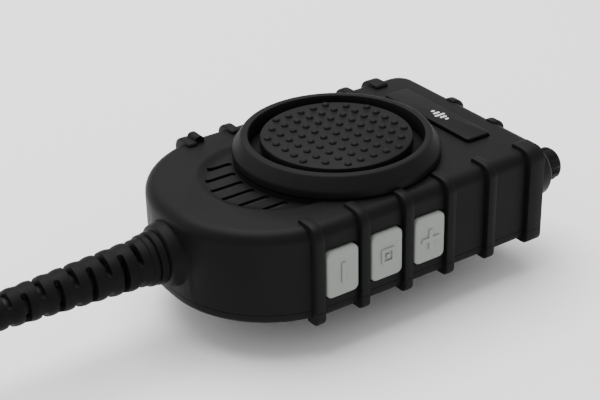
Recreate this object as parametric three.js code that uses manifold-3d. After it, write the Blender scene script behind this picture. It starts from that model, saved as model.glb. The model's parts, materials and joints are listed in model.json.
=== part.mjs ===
// A rugged hand microphone: a round talk button in a raised ring over a ribbed moulded case,
// with three side keys, a capped accessory socket, a swivelling rear clip and a lead.
// Millimetres. +Z out of the front face, +X from the cable end to the top end, keys on -Y.
// The origin is under the middle of the case, on the surface that the clip lies on.
import * as THREE from 'three';
import { mergeVertices } from 'three/addons/utils/BufferGeometryUtils.js';
import Module from 'manifold-3d';

const wasm = await Module();
wasm.setup();

// ---------------------------------------------------------------- driving dimensions
const gap = 0.3;                 // air between neighbouring pieces
const cableEnd = -53.6;          // rounded end of the case
const topEnd = 45.1;             // square end of the case
const halfWidth = 31.3;
const endRadius = 29.2;
const cornerRadius = 6;
const rearFace = 11;
const parting = 13.6;            // plane where the rear cover meets the front housing
const frontFace = 36;
const edgeRadius = 3.3;
const wall = 2.2;
const ceiling = frontFace - 2.4; // inside of the front wall

const ribPitch = 13.53;
const firstRib = -29.9;
const ribCount = 6;
const ribWidth = 2.7;
const nearCornerRib = { x: 39.4, width: 5.1 };
const farCornerRib = { x: 32.95, width: 4.2 };
const ribProud = 1.6;
const ribReach = 6.3;            // how far a rib runs in over the front face

const buttonX = -1.5;
const buttonRadius = 20;
const buttonTop = frontFace + 5.3;
const studPitch = 4.02;
const studHeight = 0.7;
const ringRise = 5.8;
const ringOuter = 27.3;
const ringFlat = 24.9;            // outer edge of the flat top
const ringInner = 23;
const skirtInner = 25.9;

const recessX = -21;
const recessRadius = 19.5;
const recessDepth = 1.3;
const slotPitch = 5.2;
const slotWidth = 1.8;

const keyWidth = 9.6;
const keyHeight = 12.9;
const keyMiddle = frontFace - 13.2;
const keyProud = 1.2;

const axisHeight = 23.6;         // lead and accessory socket both lie at mid thickness
const bossY = -20.5;
const bossEnd = topEnd + 6.3;
const capEnd = 56.5;

const bootTip = -112;
const bootRoot = -56.8;
const leadRadius = 3;
const bendRadius = 80;            // the lead's sideways bend past the boot
const bendAngle = Math.PI / 6;
const coilInner = 22;
const coilOuter = 42;
const coilBottom = 0.9;
const coilTop = 13.1;
const tieWidth = 8;
const tieThickness = 0.5;
const coilTurn = 39;             // radius of the outermost turn, at mid lead
const coilClear = 21.9;          // where a lead that leaves the outer turn is clear of the coil
const coilX = bootTip - 0.5 - bendRadius * Math.sin(bendAngle) - coilTurn * Math.sin(bendAngle);
const coilY = bendRadius * (1 - Math.cos(bendAngle)) - coilTurn * Math.cos(bendAngle);
const layerHeight = [3.9, 10];
const tailShift = 11;            // how far the lead runs back towards the middle before its plug
const tailLength = 35;

const clipTop = rearFace - gap;
const boardTop = 19.2;

// ---------------------------------------------------------------- materials
const finish = (color, roughness, metalness = 0) => ({ color, roughness, metalness });
const finishes = {
  caseBlack: finish(0x1d1d1f, 0.62),
  rubberBlack: finish(0x161617, 0.8),
  keyGrey: finish(0x9da29d, 0.5),
  plateBlack: finish(0x19191b, 0.45),
  steel: finish(0xb4b6b8, 0.35, 1),
  brass: finish(0xc7a14a, 0.35, 1),
  board: finish(0x1f5a35, 0.5),
  darkPlastic: finish(0x26262a, 0.55),
  paper: finish(0x3a3834, 0.85),
  silicone: finish(0x6f7276, 0.75),
  wire: finish(0x8f2f2a, 0.5),
};

// ---------------------------------------------------------------- shape helpers
const isSolid = (piece) => piece instanceof wasm.Manifold;

function asSolid(piece) {
  if (isSolid(piece)) return piece;
  const bare = piece.clone();
  bare.deleteAttribute('normal');
  bare.deleteAttribute('uv');
  const merged = mergeVertices(bare, 1e-4);
  const vertProperties = new Float32Array(merged.attributes.position.array);
  const triVerts = new Uint32Array(merged.index.array);
  return new wasm.Manifold(new wasm.Mesh({ numProp: 3, vertProperties, triVerts }));
}

function asGeometry(piece) {
  if (!isSolid(piece)) return piece;
  const mesh = piece.getMesh();
  const geometry = new THREE.BufferGeometry();
  geometry.setAttribute('position', new THREE.BufferAttribute(mesh.vertProperties, 3));
  geometry.setIndex(new THREE.BufferAttribute(mesh.triVerts, 1));
  return geometry;
}

const join = (...pieces) => pieces.map(asSolid).reduce((sum, piece) => sum.add(piece));
const cut = (body, ...tools) => tools.reduce((rest, tool) => rest.subtract(asSolid(tool)), asSolid(body));
const common = (a, b) => asSolid(a).intersect(asSolid(b));

function box([x0, x1], [y0, y1], [z0, z1]) {
  const geometry = new THREE.BoxGeometry(x1 - x0, y1 - y0, z1 - z0);
  return geometry.translate((x0 + x1) / 2, (y0 + y1) / 2, (z0 + z1) / 2);
}

// A solid of revolution from [radius, station] pairs, standing on a point and turned to an axis.
function turned(profile, axis, at = [0, 0, 0], segments = 24) {
  const points = profile.map(([radius, station]) => new THREE.Vector2(radius, station));
  if (points[0].x > 0) points.push(points[0].clone());
  const geometry = new THREE.LatheGeometry(points, segments);
  if (axis === 'x') geometry.rotateZ(-Math.PI / 2);
  if (axis === 'z') geometry.rotateX(Math.PI / 2);
  return geometry.translate(...at);
}

function rod(axis, radius, [from, to], at = [0, 0, 0], segments = 16) {
  return turned([[0, from], [radius, from], [radius, to], [0, to]], axis, at, segments);
}

function tubeRing(axis, inner, outer, [from, to], at = [0, 0, 0], segments = 24) {
  return turned([[inner, from], [outer, from], [outer, to], [inner, to]], axis, at, segments);
}

function extrude(shape, [from, to], options = {}) {
  const settings = { depth: to - from, bevelEnabled: false, curveSegments: 4, ...options };
  return new THREE.ExtrudeGeometry(shape, settings).translate(0, 0, from);
}

function roundedRectangle(width, height, radius) {
  const [w, h] = [width / 2, height / 2];
  const shape = new THREE.Shape();
  shape.moveTo(w - radius, -h);
  shape.absarc(w - radius, -h + radius, radius, -Math.PI / 2, 0);
  shape.absarc(w - radius, h - radius, radius, 0, Math.PI / 2);
  shape.absarc(-w + radius, h - radius, radius, Math.PI / 2, Math.PI);
  shape.absarc(-w + radius, -h + radius, radius, Math.PI, Math.PI * 1.5);
  shape.closePath();
  return shape;
}

function polygon(points) {
  return new THREE.Shape(points.map(([x, y]) => new THREE.Vector2(x, y)));
}

// A tube along a curve, closed at both ends.
function tube(curve, radius, steps, sides = 8) {
  const section = new THREE.Shape();
  for (let side = 0; side < sides; side += 1) {
    const angle = (side / sides) * Math.PI * 2;
    const move = side ? 'lineTo' : 'moveTo';
    section[move](radius * Math.cos(angle), radius * Math.sin(angle));
  }
  section.closePath();
  return new THREE.ExtrudeGeometry(section, { steps, bevelEnabled: false, extrudePath: curve });
}

const curveThrough = (points) => new THREE.CatmullRomCurve3(points.map((p) => new THREE.Vector3(...p)));

class Helix extends THREE.Curve {
  constructor(radius, height, turns) {
    super();
    Object.assign(this, { radius, height, turns });
  }

  getPoint(t, target = new THREE.Vector3()) {
    const angle = t * this.turns * Math.PI * 2;
    return target.set(this.radius * Math.cos(angle), this.radius * Math.sin(angle), this.height * t);
  }
}

// The plan of the case: a rounded cable end and a square top end, drawn in by inset.
function casePlan(inset = 0) {
  const radius = endRadius - inset;
  const corner = Math.max(cornerRadius - inset, 1);
  const side = halfWidth - inset;
  const end = topEnd - inset;
  const x = cableEnd + endRadius;
  const y = halfWidth - endRadius;
  const shape = new THREE.Shape();
  shape.moveTo(end, side - corner);
  shape.absarc(end - corner, side - corner, corner, 0, Math.PI / 2);
  shape.absarc(x, y, radius, Math.PI / 2, Math.PI);
  shape.absarc(x, -y, radius, Math.PI, Math.PI * 1.5);
  shape.absarc(end - corner, -side + corner, corner, -Math.PI / 2, 0);
  shape.closePath();
  return shape;
}

function ringPlan(outerInset, innerInset) {
  const shape = casePlan(outerInset);
  shape.holes.push(casePlan(innerInset));
  return shape;
}

// ---------------------------------------------------------------- the object's tree
const group = new THREE.Group();
group.name = 'hand_microphone';

function part(name, piece, look) {
  const material = new THREE.MeshStandardMaterial(finishes[look]);
  const mesh = new THREE.Mesh(asGeometry(piece), material);
  mesh.name = name;
  group.add(mesh);
  return mesh;
}

// ---------------------------------------------------------------- ribs
const ribX = (index) => firstRib + ribPitch * index;

// The corner ribs are broader, and the far side's last two stand nearer the cable end.
function ribPlace(side, index) {
  if (index === ribCount - 1) return side < 0 ? nearCornerRib : farCornerRib;
  const back = side > 0 && index === ribCount - 2 ? 1.2 : 0;
  return { x: ribX(index) - back, width: ribWidth };
}

const sides = [-1, 1];

// A rib's section across the case, from its tip on the front face round to under the rear face.
function ribSection(side) {
  const outer = halfWidth + ribProud;
  const inner = halfWidth - 1;
  const top = frontFace + 1;
  const under = rearFace - 1.3;
  const tip = halfWidth - ribReach;
  const points = [
    [tip, frontFace - 0.8], [tip, top], [outer - 3.6, top], [outer - 1, top - 1.6],
    [outer, top - 4], [outer, under + 2], [outer - 2, under], [outer - 4.6, under],
    [outer - 4.6, rearFace + 1], [inner, rearFace + 2.4], [inner, frontFace - 4.2],
    [inner - 2.2, frontFace - 1],
  ];
  return polygon(points.map(([y, z]) => [side * y, z]));
}

function rib(side, index) {
  const { x, width } = ribPlace(side, index);
  const blank = extrude(ribSection(side), [-width / 2, width / 2]);
  blank.rotateX(Math.PI / 2).rotateZ(Math.PI / 2);
  return blank.translate(x, 0, 0);
}

// Two short ribs that wrap over the top end.
function endRib(y) {
  const reach = topEnd + ribProud;
  const section = polygon([
    [topEnd - 2.6, frontFace - 1.6], [topEnd - 2.6, frontFace + 0.25],
    [reach - 2.4, frontFace + 0.25], [reach - 0.6, frontFace - 1.4], [reach, frontFace - 4],
    [reach, rearFace + 0.6], [topEnd - 1, rearFace + 0.6], [topEnd - 1, frontFace - 4.2],
  ]);
  const blank = extrude(section, [-1.6, 1.6]).rotateX(Math.PI / 2);
  return blank.translate(0, y, 0);
}

const ribs = sides.flatMap((side) => Array.from({ length: ribCount }, (_, index) => rib(side, index)));
const endRibs = [-10, 6.9].map(endRib);
const everyRib = join(...ribs, ...endRibs);
const aboveParting = box([-80, 80], [-60, 60], [parting + gap, 60]);
const belowParting = box([-80, 80], [-60, 60], [-10, parting]);

// ---------------------------------------------------------------- front housing
const platePlace = [33.04, 1.2, 0];
const towers = [[24, 25], [24, -25], [-34.5, 23.5], [-34.5, -23.5]];
const keyX = [0, 1, 2].map((index) => ribX(index) + ribPitch / 2);
const slotRows = [-2.5, -1.5, -0.5, 0.5, 1.5, 2.5].map((step) => step * slotPitch);

function grilleSlot(y) {
  const floorRadius = recessRadius - 1.5;
  const start = recessX - Math.sqrt(floorRadius ** 2 - y * y) + 0.2;
  const end = buttonX - Math.sqrt(ringOuter ** 2 - y * y) - 0.3;
  const slot = roundedRectangle(end - start, slotWidth, slotWidth / 2 - 0.01);
  return extrude(slot, [frontFace - 6, frontFace], { curveSegments: 1 })
    .translate((start + end) / 2, y, 0);
}

const earX = -27.4;
const meshX = -31.5;
const meshSeat = frontFace - recessDepth - 0.5;

function frontHousing() {
  const bevel = {
    bevelEnabled: true, bevelThickness: edgeRadius, bevelSize: edgeRadius,
    bevelOffset: -edgeRadius, bevelSegments: 3, curveSegments: 4,
  };
  const outer = extrude(casePlan(), [rearFace, frontFace - edgeRadius], bevel);
  const shell = cut(
    common(outer, aboveParting),
    extrude(casePlan(wall), [parting - 5, ceiling]),
  );
  const springWell = tubeRing('z', 11, 12.6, [ceiling - 3.1, ceiling + 0.5], [buttonX, 0, 0]);
  const wellFloor = tubeRing('z', 6.6, 12.6, [ceiling - 3.1, ceiling - 1.6], [buttonX, 0, 0]);
  const posts = towers.map(([x, y]) => rod('z', 3, [parting + gap, ceiling + 0.5], [x, y, 0], 10));
  const ribsOutsideRing = cut(everyRib, rod('z', ringOuter + gap, [frontFace, 50], [buttonX, 0, 0], 40));
  const collar = turned(
    [[0, cableEnd + 1], [9.4, cableEnd + 1], [8.7, cableEnd + 0.4], [8.4, cableEnd - 1],
      [7.4, cableEnd - 2.9], [0, cableEnd - 2.9]].reverse(),
    'x', [0, 0, axisHeight], 20,
  );
  const boss = turned(
    [[0, topEnd - 1], [7.6, topEnd - 1], [7.2, topEnd + 4.6], [5.4, bossEnd], [0, bossEnd]],
    'x', [0, bossY, axisHeight], 20,
  );
  const lanyardEar = box([earX - 1.5, earX + 1.5], [26.2, 30.2], [frontFace - 4, frontFace + 1.9]);
  const solid = join(
    shell, common(ribsOutsideRing, aboveParting), springWell, wellFloor, ...posts,
    collar, boss, lanyardEar,
  );
  const recess = cut(
    turned([[0, -recessDepth], [recessRadius - 2.6, -recessDepth], [recessRadius, 0.2], [0, 0.2]],
      'z', [recessX, 0, frontFace], 28),
    rod('z', ringOuter, [30, 50], [buttonX, 0, 0], 36),
  );
  const keyWindows = keyX.map((x) => extrude(
    roundedRectangle(keyWidth + 0.7, keyHeight + 0.7, 1.6), [0, 8], { curveSegments: 1 },
  ).rotateX(Math.PI / 2).translate(x, -26, keyMiddle));
  return cut(
    solid,
    recess,
    rod('z', 11, [ceiling - 1.6, 60], [buttonX, 0, 0]),
    rod('z', 6.6, [0, 60], [buttonX, 0, 0]),
    rod('z', 16.8, [ceiling - 1, meshSeat], [meshX, 0, 0], 32),
    ...slotRows.map(grilleSlot),
    ...keyWindows,
    ...towers.map(([x, y]) => rod('z', 1.6, [0, 24], [x, y, 0], 8)),
    rod('x', 5.2, [-70, -48], [0, 0, axisHeight], 16),
    rod('x', 4.2, [topEnd - 8, 70], [0, bossY, axisHeight], 20),
    extrude(roundedRectangle(8.4, 36.6, 1.3), [frontFace - 0.8, 40], { curveSegments: 1 })
      .translate(...platePlace),
    rod('y', 0.75, [20, 36], [earX, 0, frontFace + 0.8], 10),
  );
}

part('front_housing', frontHousing(), 'caseBlack');

// ---------------------------------------------------------------- rear cover and its seal
const boardPosts = [[31, 17], [31, -17], [-20, 17], [-20, -17]];
const clampX = -45.5;
const clampY = 6;

function rearCover() {
  const bevel = {
    bevelEnabled: true, bevelThickness: 1.6, bevelSize: 1.6, bevelOffset: -1.6,
    bevelSegments: 2, curveSegments: 4,
  };
  const plate = common(extrude(casePlan(), [rearFace + 1.6, parting + 4], bevel), belowParting);
  const shoulder = extrude(ringPlan(wall + 0.4, wall + 1.8), [parting - 0.5, parting + 1.6]);
  const posts = boardPosts.map(([x, y]) => rod('z', 2.2, [parting - 0.5, 17.7], [x, y, 0], 10));
  const clampPosts = sides.map((side) => rod(
    'z', 2.4, [parting - 0.5, 19.4], [clampX, side * clampY, 0], 10,
  ));
  const feet = sides.map((side) => extrude(
    roundedRectangle(5.4, 5, 1.2), [rearFace - 1.3, rearFace + 0.5], { curveSegments: 1 },
  ).translate(32.4, side * 26, 0));
  const clearPost = towers.map(([x, y]) => rod('z', 3.4, [parting, 20], [x, y, 0], 10));
  const body = join(plate, shoulder, common(everyRib, belowParting), ...posts, ...clampPosts, ...feet);
  return cut(
    body,
    extrude(ringPlan(0.6, 2), [parting - 1, parting + 0.2]),
    ...clearPost,
    ...towers.map(([x, y]) => rod('z', 1.6, [0, 30], [x, y, 0], 8)),
    ...towers.map(([x, y]) => rod('z', 2.7, [0, rearFace + 1.4], [x, y, 0], 12)),
    ...boardPosts.map(([x, y]) => rod('z', 1.3, [13, 30], [x, y, 0], 8)),
    ...sides.map((side) => rod('z', 1.3, [14, 30], [clampX, side * clampY, 0], 8)),
    rod('z', 3.3, [0, 30], [0, 0, 0], 20),
  );
}

part('rear_cover', rearCover(), 'caseBlack');
part('housing_seal', extrude(ringPlan(0.9, 1.7), [parting - 0.7, parting]), 'rubberBlack');

// A pan-head screw: head below, shank up, or the other way about.
function screw([x, y], headRadius, [headFrom, headTo], shankRadius, shankEnd) {
  const shankStart = shankEnd > headTo ? headTo - 0.1 : headFrom + 0.1;
  const reach = [Math.min(shankStart, shankEnd), Math.max(shankStart, shankEnd)];
  const head = rod('z', headRadius, [headFrom, headTo], [x, y, 0], 8);
  const socket = rod('z', headRadius * 0.42, shankEnd > headTo
    ? [headFrom - 1, headFrom + 0.6] : [headTo - 0.6, headTo + 1], [x, y, 0], 6);
  return cut(join(head, rod('z', shankRadius, reach, [x, y, 0], 8)), socket);
}

// Like pieces in a row, each its own numbered piece.
function parts(name, places, make, look) {
  places.forEach((place, index) => part(`${name}_${index + 1}`, make(place), look));
}

parts('housing_screw', towers, (at) => screw(
  at, 2.35, [rearFace - 0.1, rearFace + 1.1], 1.25, 23,
), 'steel');

// ---------------------------------------------------------------- talk button group
part('bezel_ring', turned([
  [ringInner, 1.5], [skirtInner, 1.5], [skirtInner, gap], [ringOuter, gap], [ringOuter, 2.5],
  [ringFlat, ringRise], [ringInner + 0.2, ringRise], [ringInner, ringRise - 0.2],
], 'z', [buttonX, 0, frontFace], 36), 'caseBlack');

part('ptt_seal', turned([
  [12.4, gap], [skirtInner - gap, gap], [skirtInner - gap, 1], [18.4, 1], [17.8, 1.2], [17.2, 1],
  [12.4, 1],
], 'z', [buttonX, 0, frontFace], 32), 'rubberBlack');

function studs() {
  const reach = 4;
  const found = [];
  for (let i = -reach; i <= reach; i += 1) {
    for (let j = -reach; j <= reach; j += 1) {
      if (i * i + j * j <= reach * reach + reach) found.push([i * studPitch, j * studPitch]);
    }
  }
  return found.map(([x, y]) => turned(
    [[0, -0.2], [1.15, -0.2], [0.75, studHeight], [0, studHeight]],
    'z', [buttonX + x, y, buttonTop], 4,
  ));
}

const hubEnd = 26.2;
const hub = turned([
  [0, hubEnd], [6, hubEnd], [6, 28.8], [5.2, 28.8], [5.2, 29.8], [6, 29.8],
  [6, frontFace + 2.7], [0, frontFace + 2.7],
], 'z', [buttonX, 0, 0], 20);
const buttonCap = turned([
  [0, frontFace + 2.6], [buttonRadius, frontFace + 2.6], [buttonRadius, buttonTop - 0.5],
  [buttonRadius - 0.5, buttonTop], [0, buttonTop],
], 'z', [buttonX, 0, 0], 40);
part('ptt_button', join(hub, buttonCap, ...studs()), 'rubberBlack');
part('ptt_retaining_ring', tubeRing('z', 5.5, 7.4, [28.95, 29.65], [buttonX, 0, 0], 20), 'steel');
part('ptt_spring', tube(new Helix(8.6, 5, 3), 0.5, 36, 5)
  .translate(buttonX, 0, ceiling - 0.8), 'steel');

// ---------------------------------------------------------------- label plate
part('label_plate', extrude(roundedRectangle(7.8, 36, 1), [frontFace - 0.5, frontFace + 0.7], {
  bevelEnabled: true, bevelThickness: 0.3, bevelSize: 0.3, bevelOffset: -0.3, bevelSegments: 1,
  curveSegments: 1,
}).translate(...platePlace), 'plateBlack');

// ---------------------------------------------------------------- side keys
function keySymbol(index) {
  const bar = (width, height) => box(
    [-width / 2, width / 2], [-keyProud - gap, 0.2], [-height / 2, height / 2],
  );
  if (index === 0) return bar(1.2, 5.6);
  if (index === 2) return join(bar(1.2, 5.6), bar(5.6, 1.2));
  return join(cut(bar(4, 4.2), box([-1.2, 1.2], [-9, 9], [-1.3, 1.3])), bar(1.1, 1.1));
}

const keyNames = ['volume_down_key', 'function_key', 'volume_up_key'];
keyNames.forEach((name, index) => {
  const face = extrude(roundedRectangle(keyWidth, keyHeight, 1.6), [0.6, 4.2], {
    bevelEnabled: true, bevelThickness: 0.6, bevelSize: 0.6, bevelOffset: -0.6,
    bevelSegments: 1, curveSegments: 1,
  }).rotateX(Math.PI / 2).translate(0, 3.6, 0);
  const flange = extrude(roundedRectangle(keyWidth + 1.4, keyHeight + 1.9, 1.6), [0, 0.8], {
    curveSegments: 1,
  }).rotateX(Math.PI / 2).translate(0, 3.6, 0);
  const stem = rod('y', 1.8, [3.2, 4.9], [0, 0, 0], 12);
  const key = join(face, flange, stem, keySymbol(index));
  part(name, asGeometry(key).translate(keyX[index], -halfWidth, keyMiddle), 'keyGrey');
});

const keySide = (from, to) => [-halfWidth + from, -halfWidth + to];
const keyRow = [keyX[0] - 7, keyX[2] + 7];
const stemHoles = keyX.map((x) => rod('y', 2.3, [-40, -20], [x, 0, keyMiddle], 12));
part('key_mat', cut(
  box(keyRow, keySide(4.4, 5), [keyMiddle - 6.8, keyMiddle + 6.8]), ...stemHoles,
), 'silicone');
parts('key_switch', keyX, (x) => join(
  box([x - 3, x + 3], keySide(6.1, 7.9), [keyMiddle - 3, keyMiddle + 3]),
  rod('y', 1.7, keySide(5.8, 6.3), [x, 0, keyMiddle], 12),
), 'steel');
part('key_board', box(keyRow, keySide(8.2, 9.2), [keyMiddle - 6.8, keyMiddle + 6.8]), 'board');

// ---------------------------------------------------------------- speaker and microphone
const speaker = [-33, -2, 0];
const grilleUnder = ceiling;
part('speaker_mesh', rod('z', 16.5, [meshSeat - 0.6, meshSeat - gap], [meshX, 0, 0], 32), 'steel');
part('speaker_gasket', tubeRing(
  'z', 9.6, 11.4, [grilleUnder - 1.9, grilleUnder - 0.9], speaker, 28,
), 'rubberBlack');
part('speaker_basket', turned([
  [0, grilleUnder - 7.6], [6, grilleUnder - 7.6], [6, grilleUnder - 5], [10.8, grilleUnder - 4],
  [11.5, grilleUnder - 2.2], [9.8, grilleUnder - 2.2], [9.6, grilleUnder - 3.4],
  [5.4, grilleUnder - 4.6], [0, grilleUnder - 4.6],
], 'z', speaker, 28), 'darkPlastic');
part('speaker_cone', turned([
  [0, grilleUnder - 4.3], [5.2, grilleUnder - 4.1], [9.3, grilleUnder - 2.8],
  [9.3, grilleUnder - 2.4], [5.2, grilleUnder - 3.6], [3, grilleUnder - 3], [0, grilleUnder - 2.7],
], 'z', speaker, 24), 'paper');

const capsule = [-27.5, 13.5, 0];
part('mic_boot', cut(
  rod('z', 3.9, [grilleUnder - 6, grilleUnder - 0.9], capsule, 20),
  rod('z', 3.2, [grilleUnder - 5.2, grilleUnder], capsule, 20),
  rod('z', 1.4, [0, 60], capsule, 10),
), 'rubberBlack');
part('mic_capsule', rod('z', 2.9, [grilleUnder - 4.9, grilleUnder - 1.6], capsule, 20), 'steel');

// ---------------------------------------------------------------- main board
part('main_board', cut(
  box([-24, 38], [-20, 20], [18, boardTop]),
  ...boardPosts.map(([x, y]) => rod('z', 1.4, [0, 30], [x, y, 0], 10)),
), 'board');
parts('board_screw', boardPosts, (at) => screw(
  at, 2, [boardTop + gap, boardTop + 1.4], 1, 14.4,
), 'steel');
part('ptt_switch', join(
  box([buttonX - 6, buttonX + 6], [-6, 6], [boardTop + gap, 23]),
  rod('z', 3.2, [22.8, 24.6], [buttonX, 0, 0], 16),
), 'darkPlastic');

// ---------------------------------------------------------------- accessory socket and its cap
const socketAt = [0, bossY, axisHeight];
part('accessory_socket', cut(
  join(
    rod('x', 3.9, [topEnd - 7.6, bossEnd - 0.2], socketAt, 20),
    rod('x', 2.9, [topEnd - 10, topEnd - 7], socketAt, 16),
  ),
  rod('x', 2.5, [topEnd - 6, 70], socketAt, 20),
), 'brass');
part('socket_nut', cut(
  rod('x', 6.4, [topEnd - wall - 2.6, topEnd - wall - gap], socketAt, 6),
  rod('x', 4.2, [0, 60], socketAt, 20),
), 'brass');

function scallopedCap() {
  const start = bossEnd + gap;
  const head = turned([
    [0, start], [4.6, start], [4.6, capEnd - 1], [3.6, capEnd], [0, capEnd],
  ], 'x', socketAt, 32);
  const flutes = Array.from({ length: 8 }, (_, index) => {
    const angle = (index / 8) * Math.PI * 2;
    const at = [0, bossY + 5.4 * Math.cos(angle), axisHeight + 5.4 * Math.sin(angle)];
    return rod('x', 1.3, [start + 1, capEnd + 1], at, 10);
  });
  return join(cut(head, ...flutes), rod('x', 2.1, [topEnd, start + 0.5], socketAt, 16));
}

part('socket_cap', scallopedCap(), 'rubberBlack');

// ---------------------------------------------------------------- strain relief and lead
const firstWindow = -63.6;
const windowPitch = 4.25;
const bootRadius = (x) => THREE.MathUtils.mapLinear(x, bootRoot, bootTip, 6.4, 3.8);

function strainRelief() {
  const flange = 2.1;
  const neck = [
    [leadRadius + gap, cableEnd + 5], [6.6, cableEnd + 5], [6.6, cableEnd + 3.4],
    [4.9, cableEnd + 3.4], [4.9, bootRoot], [6.9, bootRoot], [6.9, bootRoot - 1.6],
    [6.1, bootRoot - 1.9], [6.1, bootRoot - flange], [6.7, bootRoot - flange - 0.2],
    [6.7, bootRoot - flange - 1.7], [bootRadius(bootRoot - 4), bootRoot - 4],
  ];
  const sleeve = turned([
    ...neck, [bootRadius(bootTip), bootTip], [leadRadius + gap, bootTip],
  ].reverse(), 'x', [0, 0, axisHeight], 12);
  const windows = [];
  for (let index = 0; index < 11; index += 1) {
    const x = firstWindow - index * windowPitch;
    for (const depth of [[2, 9], [-9, -2]]) {
      const [ys, zs] = index % 2 ? [depth, [-9, 9]] : [[-9, 9], depth];
      windows.push(box([x - 0.75, x + 0.75], ys, zs).translate(0, 0, axisHeight));
    }
  }
  return cut(sleeve, ...windows);
}

part('strain_relief', strainRelief(), 'rubberBlack');

const ease = (from, to, t) => from + (to - from) * (1 - Math.cos(Math.PI * t)) / 2;
const steps = (count) => Array.from({ length: count + 1 }, (_, index) => index / count);

// The lead bends sideways and sinks as it comes to the coil, and stops where it meets the turns.
const leadStart = -48;
const leadMeetsCoil = 0.57;
const bend = steps(9).map((step) => {
  const t = step * leadMeetsCoil;
  const angle = bendAngle * t;
  return [
    bootTip - 0.5 - bendRadius * Math.sin(angle), bendRadius * (1 - Math.cos(angle)),
    ease(axisHeight, layerHeight[1], t),
  ];
});
const lead = curveThrough([
  [leadStart, 0, axisHeight], [-70, 0, axisHeight], [-92, 0, axisHeight], ...bend,
]);
const tailStart = coilX + coilClear;
const plugY = coilY - coilTurn + tailShift;
const plugZ = 5;
const reliefEnd = tailStart + tailLength;
const tail = curveThrough(steps(8).map((t) => [
  tailStart + (tailLength - gap) * t, ease(coilY - coilTurn, plugY, t), ease(layerHeight[0], plugZ, t),
]));
part('cord', tube(lead, leadRadius, 11), 'rubberBlack');
part('cord_coil', tubeRing(
  'z', coilInner, coilOuter, [coilBottom, coilTop], [coilX, coilY, 0], 32,
), 'rubberBlack');
part('cord_tail', tube(tail, leadRadius, 6), 'rubberBlack');

// A strap round the turns of the coil.
function cordTie() {
  const inside = [[coilX + coilInner - 0.9, coilX + coilOuter + gap], [coilBottom - gap, coilTop + gap]];
  const outside = inside.map(([from, to]) => [from - tieThickness, to + tieThickness]);
  const across = [coilY - tieWidth / 2, coilY + tieWidth / 2];
  return cut(box(outside[0], across, outside[1]), box(inside[0], [coilY - 9, coilY + 9], inside[1]));
}

part('cord_tie', cordTie(), 'rubberBlack');

// ---------------------------------------------------------------- two-pin radio plug
const plugFace = reliefEnd + 26;  // the face that the pins stand on
const plugAt = [0, plugY, plugZ];
const pinOffset = 5.7;

function plugBody() {
  const grip = extrude(roundedRectangle(14, 22, 3), [plugZ - 3.9, plugZ + 3.9], {
    bevelEnabled: true, bevelThickness: 0.5, bevelSize: 0.5, bevelOffset: -0.5, bevelSegments: 1,
    curveSegments: 2,
  }).translate(plugFace - 7, plugY, 0);
  const relief = turned([
    [0, plugFace - 13], [4.8, plugFace - 13], [4.2, reliefEnd], [0, reliefEnd],
  ].reverse(), 'x', plugAt, 16);
  const pinHoles = sides.map((side) => rod(
    'x', 1.3, [plugFace - 6, plugFace + 1], [0, plugY + side * pinOffset, plugZ], 10,
  ));
  return cut(join(grip, relief), ...pinHoles);
}

function plugPin(y, radius, length) {
  const end = plugFace + length;
  return turned([
    [0, plugFace - 5.6], [1, plugFace - 5.6], [1, plugFace + 0.3], [radius, plugFace + 0.3],
    [radius, end - 4.4], [radius * 0.7, end - 3.6], [radius, end - 2.4], [radius * 0.5, end], [0, end],
  ], 'x', [0, plugY + y, plugZ], 12);
}

part('plug_body', plugBody(), 'rubberBlack');
part('plug_pin_large', plugPin(pinOffset, 1.75, 14), 'steel');
part('plug_pin_small', plugPin(-pinOffset, 1.25, 11), 'steel');

// ---------------------------------------------------------------- cable clamp and wiring
const clampAt = [0, 0, axisHeight];
part('cable_clamp', cut(
  box([clampX - 2.2, clampX + 2.2], [-8.6, 8.6], [19.7, 27.6]),
  rod('x', leadRadius + gap, [-60, -30], clampAt, 16),
  ...sides.map((side) => rod('z', 1.3, [0, 40], [clampX, side * clampY, 0], 10)),
), 'steel');
parts('clamp_screw', sides, (side) => screw(
  [clampX, side * clampY], 1.9, [27.6 + gap, 29], 1, 15,
), 'steel');
part('cable_core', rod('x', 2.4, [leadStart + gap, clampX + 4], clampAt, 12), 'rubberBlack');
part('signal_lead', tube(curveThrough([
  [clampX + 4.4, 0, axisHeight], [-38, 0, 23], [-34, 0, 21.6], [-30, 0, 20.4], [-25, 0, 19],
]), 0.8, 10, 8), 'wire');

// ---------------------------------------------------------------- rear clip
const pivotX = 6;
const pivotZ = 5.2;
const jawX = -24;
const thumbX = 22;
const earY = 9.6;

function clipBase() {
  const plate = extrude(roundedRectangle(38, 22, 3), [8.4, clipTop], { curveSegments: 2 })
    .translate(-5, 0, 0);
  const turntable = rod('z', 13, [8.8, clipTop], [0, 0, 0], 36);
  const hubPost = rod('z', 3, [clipTop - 0.5, 15.6], [0, 0, 0], 20);
  const groove = tubeRing('z', 2.5, 4, [14.5, 15.1], [0, 0, 0], 20);
  const ears = sides.map((side) => box(
    [pivotX - 3.4, pivotX + 3.4], [side * earY - 0.9, side * earY + 0.9], [3.2, 8.8],
  ));
  const jawLip = box([jawX, jawX + 1.6], [-10, 10], [6.6, 8.6]);
  return cut(
    join(plate, turntable, ...ears, jawLip, hubPost),
    groove,
    rod('y', 1.4, [-20, 20], [pivotX, 0, pivotZ], 16),
  );
}

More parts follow.
